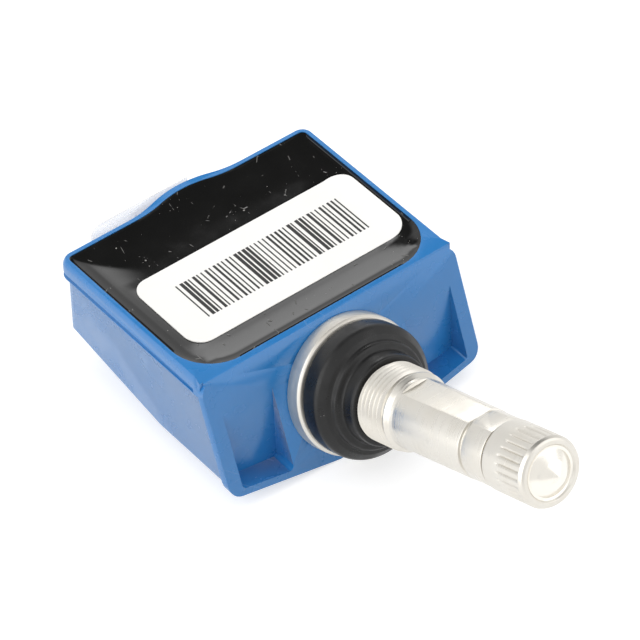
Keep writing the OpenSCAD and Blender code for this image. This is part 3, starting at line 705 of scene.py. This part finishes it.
class SENSOR_OT_housing(bpy.types.Operator):
    """Rounds the edges of the moulded housing"""

    bl_idname = "sensor.housing"
    bl_label = "Housing"

    def execute(self, context):
        piece = copy_of_node("housing", "moulded_housing")
        self.thicken_rim_corners(piece)
        self.round_bead(piece)
        self.cut_groove(piece)
        self.weigh_edges(piece)
        apply_modifier(
            piece, "BEVEL", width=sizes().edge_round, segments=2, limit_method="WEIGHT",
            use_clamp_overlap=True, miter_outer="MITER_ARC",
        )
        smooth(piece, 34)
        dress(piece, known("moulded_blue", moulded_plastic, tuple(colours().plastic)))
        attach(piece, "sensor")
        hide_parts("housing")
        return {"FINISHED"}

    def rim_corner(self):
        """Test for the two places of the rim where the cavity reaches out below the pool's arc."""
        low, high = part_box("potting")
        side = high.x - 3.1 * MM
        back = low.y + 2.7 * MM
        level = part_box("housing")[1].z - 0.5 * MM

        def test(place):
            return abs(place.x) > side and place.y < back and place.z > level

        return test

    def thicken_rim_corners(self, piece):
        """Gives the rim a body over the cavity's corners."""
        in_corner = self.rim_corner()
        open_edit(piece, "FACE")
        if not pick_faces(piece, lambda c, n: n.z < -0.9 and in_corner(c)):
            raise RuntimeError("the rim has no corners over the cavity")
        bpy.ops.mesh.extrude_region_move(TRANSFORM_OT_translate={"value": (0, 0, -sizes().rim_body)})
        bpy.ops.object.mode_set(mode="OBJECT")

    def weigh_edges(self, piece):
        """Gives bevel weight to the sharp edges, but not to those in the rim's corners."""
        open_edit(piece, "EDGE")
        bpy.ops.mesh.edges_select_sharp(sharpness=radians(28))
        bpy.ops.object.mode_set(mode="OBJECT")
        mesh = piece.data
        in_corner = self.rim_corner()
        for edge in mesh.edges:
            if all(in_corner(mesh.vertices[i].co) for i in edge.vertices):
                edge.select = False
        bpy.ops.object.mode_set(mode="EDIT")
        bpy.ops.transform.edge_bevelweight(value=1)
        bpy.ops.object.mode_set(mode="OBJECT")

    def bead_side(self, low, high):
        """Test for faces on the bead's outer side, between two levels."""
        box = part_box("housing")
        middle = Vector((0.0, box[0].y + 0.55 * (box[1].y - box[0].y), 0.0))

        def test(centre, normal):
            outward = (centre - middle).xy.dot(normal.xy) > 0
            return outward and abs(normal.z) < 0.02 and low < centre.z < high

        return test

    def round_bead(self, piece):
        """Rounds the bead's outer top edge, wide and low, and lets the rounding run out near the flange."""
        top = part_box("housing")[1].z
        under = top - sizes().bead_height
        fall = sizes().rim_fall / sizes().rim_round
        run_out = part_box("potting")[0].y + 0.6 * MM
        on_side = self.bead_side(under, top)
        open_edit(piece, "FACE")
        pick_faces(piece, on_side)
        bpy.ops.mesh.bisect(plane_co=(0, run_out + 0.05 * MM, 0), plane_no=(0, 1, 0))
        bpy.ops.object.mode_set(mode="OBJECT")
        mesh = piece.data
        outer = set()
        for face in mesh.polygons:
            if on_side(face.center, face.normal):
                ends = {i: mesh.vertices[i].co for i in face.vertices}
                outer.update(i for i, co in ends.items() if abs(co.z - top) < 0.01 * MM and co.y > run_out)
        open_edit(piece, "EDGE")
        bpy.ops.object.mode_set(mode="OBJECT")
        for edge in mesh.edges:
            edge.select = edge.vertices[0] in outer and edge.vertices[1] in outer
        bpy.ops.object.mode_set(mode="EDIT")
        bpy.ops.mesh.bevel(offset=sizes().rim_round, segments=8, profile=0.38, clamp_overlap=True)
        bpy.ops.mesh.select_mode(type="VERT")
        bpy.ops.object.mode_set(mode="OBJECT")
        for vertex in mesh.vertices:
            vertex.select = vertex.select and vertex.co.y > run_out
        bpy.ops.object.mode_set(mode="EDIT")
        bpy.ops.transform.resize(value=(1, 1, fall), center_override=(0, 0, top))
        bpy.ops.object.mode_set(mode="OBJECT")

    def cut_groove(self, piece):
        """Cuts the narrow groove low in the bead's outer side."""
        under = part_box("housing")[1].z - sizes().bead_height
        lower = under + sizes().groove_lip
        upper = lower + sizes().groove_height
        open_edit(piece, "FACE")
        for level in (lower, upper):
            pick_faces(piece, self.bead_side(under, upper + MM))
            bpy.ops.mesh.bisect(plane_co=(0, 0, level), plane_no=(0, 0, 1))
        if not pick_faces(piece, self.bead_side(lower, upper)):
            raise RuntimeError("the bead has no side for its groove")
        inwards = -sizes().groove_depth
        bpy.ops.mesh.extrude_region_shrink_fatten(TRANSFORM_OT_shrink_fatten={"value": inwards})
        bpy.ops.object.mode_set(mode="OBJECT")


class SENSOR_OT_potting(bpy.types.Operator):
    """Pours the resin, with its edge climbing the wall"""

    bl_idname = "sensor.potting"
    bl_label = "Potting"

    def execute(self, context):
        piece = copy_of_node("potting", "potting_pool")
        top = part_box("potting")[1].z
        open_edit(piece)
        if not pick_faces(piece, lambda c, n: n.z > 0.99 and c.z > top - 0.01 * MM):
            raise RuntimeError("the potting has no top face")
        bpy.ops.mesh.hide(unselected=True)
        low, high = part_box("potting")
        for axis, start, end in ((0, low.x, high.x), (1, low.y, high.y)):
            lines = round((end - start) / sizes().resin_grid)
            for k in range(1, lines):
                place = [0.0, 0.0, 0.0]
                place[axis] = start + (end - start) * k / lines
                along = [0.0, 0.0, 0.0]
                along[axis] = 1.0
                bpy.ops.mesh.select_all(action="SELECT")
                bpy.ops.mesh.bisect(plane_co=place, plane_no=along)
        bpy.ops.mesh.select_all(action="SELECT")
        bpy.ops.mesh.region_to_loop()
        climbs = ((sizes().meniscus, sizes().meniscus_width), (sizes().wetting, sizes().wetting_width))
        for climb, width in climbs:
            bpy.ops.transform.translate(
                value=(0, 0, climb), use_proportional_edit=True, proportional_edit_falloff="SHARP",
                proportional_size=width, use_proportional_connected=True,
            )
        bpy.ops.mesh.reveal(select=False)
        self.press_under_label(piece)
        close_edit(piece)
        smooth(piece, 40)
        dress(piece, known("potting_black", poured_resin, tuple(colours().resin), tuple(colours().dust)))
        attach(piece, "sensor")
        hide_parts("potting")
        return {"FINISHED"}

    def press_under_label(self, piece):
        """Presses the resin's surface down to the label's underside, line by line of its grid."""
        low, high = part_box("label")
        start, end = (corner.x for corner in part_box("potting"))
        lines = round((end - start) / sizes().resin_grid)
        # Share of the label's lift that the resin may rise to
        share = 0.9
        for k in range(1, lines):
            x = start + (end - start) * k / lines
            if not low.x < x < high.x:
                continue
            limit = low.z + label_lift(x) * share

            def under_label(co, x=x, limit=limit):
                return abs(co.x - x) < 0.05 * MM and low.y < co.y < high.y and co.z > limit + 0.001 * MM

            if pick_vertices(piece, under_label):
                bpy.ops.transform.resize(value=(1, 1, 0), center_override=(0, 0, limit))


class SENSOR_OT_label(bpy.types.Operator):
    """Cuts the label, rounds its corners and bends its right end up the pool's edge"""

    bl_idname = "sensor.label"
    bl_label = "Label"

    def execute(self, context):
        low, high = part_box("label")
        middle = (low + high) / 2
        clear_selection()
        bpy.ops.mesh.primitive_plane_add(size=1, location=(middle.x, middle.y, low.z))
        piece = context.object
        piece.name = "printed_label"
        piece.scale = (high.x - low.x, high.y - low.y, 1)
        settle(piece)
        open_edit(piece, "VERT", True)
        bpy.ops.mesh.bevel(offset=sizes().label_corner, segments=10, affect="VERTICES")
        steps = 12
        lifted = sizes().meniscus_width * 0.5
        for k in range(steps):
            rest = 1 - k / steps
            for place in (high.x - sizes().label_curl * rest, low.x + lifted * rest):
                bpy.ops.mesh.select_all(action="SELECT")
                bpy.ops.mesh.bisect(plane_co=(place, 0, 0), plane_no=(1, 0, 0))
        bpy.ops.mesh.select_all(action="SELECT")
        bpy.ops.mesh.remove_doubles(threshold=1e-6)
        bpy.ops.object.mode_set(mode="OBJECT")
        places = sorted({round(vertex.co.x, 6) for vertex in piece.data.vertices})
        bpy.ops.object.mode_set(mode="EDIT")
        for place in places:
            if pick_vertices(piece, lambda co: round(co.x, 6) == place):
                bpy.ops.transform.translate(value=(0, 0, label_lift(place)))
        close_edit(piece)
        if any(face.normal.z < 0 for face in piece.data.polygons):
            open_edit(piece, "FACE", True)
            bpy.ops.mesh.flip_normals()
            bpy.ops.object.mode_set(mode="OBJECT")
        apply_modifier(piece, "SOLIDIFY", thickness=LABEL_THICKNESS, offset=1.0)
        smooth(piece, 40)
        dress(piece, known("label_white", label_paper, tuple(colours().paper)))
        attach(piece, "sensor")
        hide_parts("label")
        dress(frame["nodes"]["label_bars"], known("label_ink", printed_ink, tuple(colours().ink)))
        return {"FINISHED"}


class SENSOR_OT_film(bpy.types.Operator):
    """Finishes the see-through film on the back wall"""

    bl_idname = "sensor.film"
    bl_label = "Back film"

    def execute(self, context):
        piece = copy_of_node("back_film", "wall_film")
        smooth(piece, 30)
        clear = known("film_clear", clear_film, tuple(colours().film))
        edge = known("film_edge", film_edge, shade(colours().film, 0.8))
        dress(piece, clear, edge)
        paint_faces(piece, 1, lambda face: abs(face.normal.y) < 0.5)
        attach(piece, "sensor")
        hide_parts("back_film")
        return {"FINISHED"}


class SENSOR_OT_stem(bpy.types.Operator):
    """Turns the stem, cuts its thread and mills its flat"""

    bl_idname = "sensor.stem"
    bl_label = "Valve stem"

    def execute(self, context):
        nut_radius = 4.97
        core = nut_radius - sizes().thread_depth / MM
        flat_start, flat_end, flat_height = 14.95, 31.45, 3.87
        cutter_depth = 10
        root = [(-2.9, 4.0, 0), (-0.02, 4.0, 0), (-0.02, 4.5, 0), (9.05, 4.5, 0)]
        nut_end = [(9.1, core, 0), (13.62, core, 0.1), (13.78, 4.84, 0.06), (13.95, 4.84, 0.1)]
        shank = [(14.4, 4.42, 0.3), (15.0, 4.34, 0.5), (27.28, 4.27, 0.08)]
        groove = [(27.34, 3.92, 0.08), (27.76, 3.92, 0.08)]
        collar = [(27.84, 4.2, 0.08), (31.42, 4.2, 0.08), (31.5, 3.84, 0)]
        tip = [(36.8, 3.84, 0.1), (37.2, 3.45, 0.1), (37.2, 2.75, 0.1)]
        core_seat = [(36.9, 2.5, 0), (31.66, 2.5, 0), (31.4, 2.0, 0), (20.6, 2.0, 0)]
        air_bore = [(20.4, 1.5, 0), (-2.9, 1.5, 0)]
        outline = round_corners(root + nut_end + shank + groove + collar + tip + core_seat + air_bore, 3)
        piece = turned("turned_stem", outline + [outline[0]], 144, closed=True)
        clear_selection()
        middle = (0, (flat_height + cutter_depth / 2) * MM, (flat_start + flat_end) / 2 * MM)
        bpy.ops.mesh.primitive_cube_add(size=1, location=middle)
        cutter = context.object
        cutter.scale = (2 * cutter_depth * MM, cutter_depth * MM, (flat_end - flat_start) * MM)
        settle(cutter)
        apply_modifier(piece, "BOOLEAN", operation="DIFFERENCE", object=cutter, solver="EXACT")
        bpy.data.objects.remove(cutter)
        apply_modifier(
            piece, "BEVEL", width=0.05 * MM, segments=2, limit_method="ANGLE", angle_limit=radians(24),
            use_clamp_overlap=True,
        )
        thread = self.thread(context)
        lay_on_stem(piece)
        lay_on_stem(thread)
        metal = known("stem_satin", turned_metal, tuple(colours().metal), 0.3)
        for part in (piece, thread):
            smooth(part, 30)
            dress(part, metal)
            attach(part, "sensor")
        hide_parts("valve_stem")
        return {"FINISHED"}

    def thread(self, context):
        """One helical ridge with a rounded crest, closed at both ends."""
        pitch = sizes().thread_pitch
        depth = sizes().thread_depth
        crest = 5.0 * MM
        root = crest - depth - 0.06 * MM
        shoulder = crest - depth * 0.12
        end_station = 13.42 * MM
        start_angle = radians(-70)
        turns = 6
        clear_selection()
        bpy.ops.mesh.primitive_circle_add(vertices=5, radius=pitch, fill_type="NOTHING", location=(0, 0, 0))
        ridge = context.object
        ridge.name = "nut_thread"
        half = pitch * 0.47
        top = half * 0.17
        section = [(root, -half), (shoulder, -top), (crest, 0.0), (shoulder, top), (root, half)]
        for vertex, (r, z) in zip(ridge.data.vertices, section):
            vertex.co = (r, 0, z)
        apply_modifier(
            ridge, "SCREW", angle=2 * pi, screw_offset=pitch, iterations=turns, steps=72, render_steps=72,
            use_merge_vertices=False, use_normal_calculate=True,
        )
        open_edit(ridge, "EDGE")
        bpy.ops.mesh.select_non_manifold()
        bpy.ops.mesh.edge_face_add()
        close_edit(ridge)
        ridge.rotation_euler = (0, 0, start_angle)
        ridge.location = (0, 0, (end_station - half) - pitch * turns)
        settle(ridge)
        return ridge


class SENSOR_OT_seat(bpy.types.Operator):
    """Turns the seat washer and moulds the rim grommet"""

    bl_idname = "sensor.seat"
    bl_label = "Seat washer and grommet"

    def execute(self, context):
        washer_outline = [
            (0, 4.56, 0), (0, 8.45, 0), (0.25, 8.7, 0.12), (2.2, 8.7, 0.12),
            (2.45, 8.45, 0.1), (2.5, 8.2, 0), (2.5, 4.56, 0), (0, 4.56, 0),
        ]
        disc = [(2.5, 4.56, 0), (2.5, 8.0, 0.1), (2.9, 8.35, 0.3), (5.3, 8.35, 0.9)]
        step = [(6.15, 7.35, 0.4), (6.3, 6.75, 0.25), (6.95, 6.6, 0.35)]
        neck = [(7.1, 5.75, 0.35), (8.6, 5.65, 0.4), (9.1, 5.55, 0.25), (9.1, 4.56, 0), (2.5, 4.56, 0)]
        washer = turned("turned_washer", round_corners(washer_outline, 3), 144, closed=True)
        grommet = turned("rubber_grommet", round_corners(disc + step + neck, 5), 144, closed=True)
        for part in (washer, grommet):
            lay_on_stem(part)
            smooth(part, 35)
            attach(part, "sensor")
        rubber, bloom = tuple(colours().rubber), tuple(colours().bloom)
        dress(washer, known("washer_satin", turned_metal, tuple(colours().metal), 0.5, 0.15))
        dress(grommet, known("grommet_black", moulded_rubber, rubber, bloom, on_stem=True))
        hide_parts("seat_washer")
        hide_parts("rim_grommet")
        return {"FINISHED"}


class SENSOR_OT_cap(bpy.types.Operator):
    """Presses the cap, with its flutes and its cone, which has a finer polish and a metal lightened as a
    painted highlight
    """

    bl_idname = "sensor.cap"
    bl_label = "Valve cap"

    def execute(self, context):
        # Sides of the turning in one flute, and half of a flute's width in sides
        per_flute = 12
        half_flute = 3.2
        count = sizes().flutes
        radius = 4.3
        inside = (37.95, 3.94)
        band = (34.05, 34.25, 34.5, 34.85, 36.2, 37.4, 38.1, 38.18, 38.24)
        depths = (0.0, 0.3, 0.75, 1.0, 1.0, 1.0, 0.95, 0.6, 0.0)
        skirt = [(31.65, 3.94, 0), (31.65, 4.2, 0.08), (31.85, radius, 0.1), (33.9, radius, 0)]
        fold = [
            (38.25, radius, 0), (38.4, radius, 0.12), (38.78, 4.12, 0.15), (38.95, 3.85, 0.1),
            (38.95, 3.42, 0.1), (38.75, 3.25, 0.12), (38.68, 2.92, 0.12),
        ]
        cone = [(39.0, 2.5, 0.5), (39.6, 1.7, 0.9), (40.1, 0.72, 0.7), (40.33, 0.2, 0.1), (40.36, 0.1, 0)]
        apex = (40.37, 0)
        fluted = [(s, radius) for s in band]
        path = [inside] + round_corners(skirt, 3) + fluted + round_corners(fold + cone, 4) + [apex]
        piece = turned("pressed_cap", path, count * per_flute)
        open_edit(piece)
        step = 2 * pi / (count * per_flute)
        for station, share in zip(band, depths):
            for phase in range(per_flute // 2):
                dip = sizes().flute_depth * share * max(0.0, 1 - phase / half_flute) ** 1.5
                if dip <= 0:
                    continue

                def in_flute(co, phase=phase, station=station):
                    if abs(co.z - station * MM) > 0.01 * MM or abs(co.xy.length - radius * MM) > 0.02 * MM:
                        return False
                    place = round(atan2(co.y, co.x) / step) % per_flute
                    return place in (phase, (per_flute - phase) % per_flute)

                pick_vertices(piece, in_flute)
                k = 1 - dip / (radius * MM)
                bpy.ops.transform.resize(value=(k, k, 1), center_override=(0, 0, station * MM))
        close_edit(piece)
        satin = known("cap_satin", turned_metal, tuple(colours().metal), 0.34, 0.08)
        # Cone: same metal as the rest of the cap, lightened 1.22 times as a painted highlight, with a finer
        # polish in its lower roughness
        polish_with_painted_highlight = known("cap_polish", turned_metal, shade(colours().metal, 1.22), 0.24, 0.03)
        dress(piece, satin, polish_with_painted_highlight)
        foot, foot_radius = 38.45 * MM, 3.2 * MM
        paint_faces(piece, 1, lambda face: face.center.z > foot and face.center.xy.length < foot_radius)
        lay_on_stem(piece)
        smooth(piece, 30)
        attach(piece, "cap")
        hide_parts("valve_cap")
        return {"FINISHED"}


class SENSOR_OT_inner(bpy.types.Operator):
    """Gives the parts inside the housing and the stem their finishes"""

    bl_idname = "sensor.inner"
    bl_label = "Inner parts"

    def execute(self, context):
        steel = known("tab_steel", plain_metal, (0.62, 0.61, 0.57), 0.3)
        can = known("cell_can", plain_metal, (0.66, 0.66, 0.66), 0.25)
        brass = known("core_brass", plain_metal, (0.72, 0.50, 0.20), 0.28)
        seal = known("seal_rubber", moulded_rubber, tuple(colours().rubber), tuple(colours().bloom))
        ceramic = known("ceramic_tan", dull_body, (0.42, 0.31, 0.18), 0.45)
        finishes = {
            "circuit_board": known("board_green", dull_body, (0.02, 0.15, 0.06), 0.35),
            "coin_cell": can,
            "cell_tab_positive": steel,
            "cell_tab_negative": steel,
            "pressure_chip": known("chip_black", dull_body, (0.02, 0.02, 0.022), 0.5),
            "port_seal": known("silicone_pale", dull_body, (0.62, 0.62, 0.59), 0.55),
            "antenna_core": known("ferrite_dark", dull_body, (0.04, 0.037, 0.034), 0.45),
            "antenna_winding": known("winding_copper", plain_metal, (0.60, 0.24, 0.10), 0.35),
            "crystal": steel,
            "capacitors": ceramic,
            "core_barrel": brass,
            "core_gasket": seal,
            "core_pin": brass,
            "core_cup": brass,
            "core_seal": seal,
            "core_spring": steel,
            "cap_seal": seal,
        }
        for node, material in finishes.items():
            dress(frame["nodes"][node], material)
        return {"FINISHED"}


class SENSOR_OT_stage(bpy.types.Operator):
    """Sets the floor, the lamps, the world and the camera"""

    bl_idname = "sensor.stage"
    bl_label = "Studio"

    def execute(self, context):
        scene = context.scene
        ground = CAD_BOX[0].z
        clear_selection()
        bpy.ops.mesh.primitive_plane_add(size=3, location=(0, 0, ground))
        floor = context.object
        floor.name = "studio_floor"
        floor.data.materials.append(self.floor_white())
        lamps = (
            ("lamp_left", (-0.52, 0.05, 0.30), (0, 0.015, 0), 0.7, 2.3),
            ("lamp_top", (0.05, 0.10, 0.80), (0, 0.01, 0), 1.1, 3.2),
            ("lamp_front", (0.40, -0.48, 0.34), (0, 0.0, 0), 0.7, 1.1),
        )
        for name, place, aim, size, power in lamps:
            bpy.ops.object.light_add(type="AREA", location=place)
            lamp = context.object
            lamp.name = name
            lamp.data.shape = "SQUARE"
            lamp.data.size = size
            lamp.data.energy = power
            lamp.rotation_euler = (Vector(place) - Vector(aim)).to_track_quat("Z", "Y").to_euler()
            lamp.visible_glossy = name != "lamp_top"
        self.world(scene)
        bpy.ops.object.camera_add(location=CAMERA_PLACE, rotation=CAMERA_TURN)
        camera = context.object
        camera.name = "photo_camera"
        camera.data.sensor_width = 36.0
        camera.data.lens = CAMERA_LENS
        camera.data.clip_start = 0.01
        camera.data.clip_end = 20.0
        scene.camera = camera
        scene.view_settings.view_transform = "Standard"
        return {"FINISHED"}

    def floor_white(self):
        """White floor that keeps a soft shadow."""
        material = bpy.data.materials.new("floor_white")
        material.use_nodes = True
        tree = material.node_tree
        shader = tree.nodes["Principled BSDF"]
        shader.inputs["Base Color"].default_value = (FLOOR_WHITE, FLOOR_WHITE, FLOOR_WHITE, 1)
        shader.inputs["Roughness"].default_value = 1.0
        shader.inputs["Specular IOR Level"].default_value = 0.0
        shader.inputs["Emission Color"].default_value = (1, 1, 1, 1)
        path = tree.nodes.new("ShaderNodeLightPath")
        seen = tree.nodes.new("ShaderNodeMath")
        seen.operation = "ADD"
        seen.use_clamp = True
        tree.links.new(path.outputs["Is Camera Ray"], seen.inputs[0])
        tree.links.new(path.outputs["Is Glossy Ray"], seen.inputs[1])
        level = tree.nodes.new("ShaderNodeMath")
        level.operation = "MULTIPLY"
        level.inputs[1].default_value = FLOOR_GLOW
        tree.links.new(seen.outputs[0], level.inputs[0])
        tree.links.new(level.outputs[0], shader.inputs["Emission Strength"])
        return material

    def world(self, scene):
        """White to the camera, to gloss and through glass, softer as light, with two zones for gloss."""
        world = bpy.data.worlds.new("studio_world")
        scene.world = world
        world.use_nodes = True
        tree = world.node_tree
        sky = tree.nodes["Background"]
        sky.inputs["Color"].default_value = (1, 1, 1, 1)
        path = tree.nodes.new("ShaderNodeLightPath")
        total = None
        for ray in ("Is Camera Ray", "Is Glossy Ray", "Is Transmission Ray"):
            if total is None:
                total = path.outputs[ray]
                continue
            both = tree.nodes.new("ShaderNodeMath")
            both.operation = "MAXIMUM"
            tree.links.new(total, both.inputs[0])
            tree.links.new(path.outputs[ray], both.inputs[1])
            total = both.outputs[0]
        level = tree.nodes.new("ShaderNodeMapRange")
        level.inputs["To Min"].default_value = SKY_LIGHT
        level.inputs["To Max"].default_value = 1.0
        tree.links.new(total, level.inputs["Value"])
        strength = level.outputs["Result"]
        for way, inner, outer, factor in SKY_ZONES:
            zone = self.zone(tree, path.outputs["Is Glossy Ray"], way, inner, outer, factor)
            product = tree.nodes.new("ShaderNodeMath")
            product.operation = "MULTIPLY"
            tree.links.new(strength, product.inputs[0])
            tree.links.new(zone, product.inputs[1])
            strength = product.outputs[0]
        tree.links.new(strength, sky.inputs["Strength"])

    def zone(self, tree, glossy, way, inner, outer, factor):
        """Factor on the sky round one direction, for gloss alone, soft between the two angles."""
        towards = tree.nodes.new("ShaderNodeVectorMath")
        towards.operation = "DOT_PRODUCT"
        towards.inputs[1].default_value = Vector(way).normalized()
        place = tree.nodes.new("ShaderNodeTexCoord")
        tree.links.new(place.outputs["Generated"], towards.inputs[0])
        near = tree.nodes.new("ShaderNodeMapRange")
        near.interpolation_type = "SMOOTHSTEP"
        near.inputs["From Min"].default_value = cos(radians(outer))
        near.inputs["From Max"].default_value = cos(radians(inner))
        near.inputs["To Min"].default_value = 0.0
        near.inputs["To Max"].default_value = factor - 1.0
        tree.links.new(towards.outputs["Value"], near.inputs["Value"])
        both = tree.nodes.new("ShaderNodeMath")
        both.operation = "MULTIPLY_ADD"
        tree.links.new(near.outputs["Result"], both.inputs[0])
        tree.links.new(glossy, both.inputs[1])
        both.inputs[2].default_value = 1.0
        return both.outputs[0]


OPERATORS = (
    SENSOR_OT_housing,
    SENSOR_OT_potting,
    SENSOR_OT_label,
    SENSOR_OT_film,
    SENSOR_OT_stem,
    SENSOR_OT_seat,
    SENSOR_OT_cap,
    SENSOR_OT_inner,
    SENSOR_OT_stage,
)


class SENSOR_PT_panel(bpy.types.Panel):
    """Lists the sensor's operators and settings"""

    bl_idname = "SENSOR_PT_panel"
    bl_label = "Tyre Pressure Sensor"
    bl_space_type = "VIEW_3D"
    bl_region_type = "UI"
    bl_category = "Sensor"

    def draw(self, context):
        layout = self.layout
        for group in (context.scene.sensor_sizes, context.scene.sensor_colours):
            box = layout.box()
            for key in group.__annotations__:
                box.prop(group, key)
        for operator in OPERATORS:
            layout.operator(operator.bl_idname)


CLASSES = (SensorSizes, SensorColours, *OPERATORS, SENSOR_PT_panel)


def register():
    for cls in CLASSES:
        bpy.utils.register_class(cls)
    bpy.types.Scene.sensor_sizes = bpy.props.PointerProperty(type=SensorSizes)
    bpy.types.Scene.sensor_colours = bpy.props.PointerProperty(type=SensorColours)


def unregister():
    del bpy.types.Scene.sensor_colours
    del bpy.types.Scene.sensor_sizes
    for cls in reversed(CLASSES):
        bpy.utils.unregister_class(cls)


def main():
    """Builds every piece in order."""
    register()
    for operator in OPERATORS:
        group, name = operator.bl_idname.split(".")
        getattr(getattr(bpy.ops, group), name)()
    clear_selection()


if __name__ == "__main__":
    main()
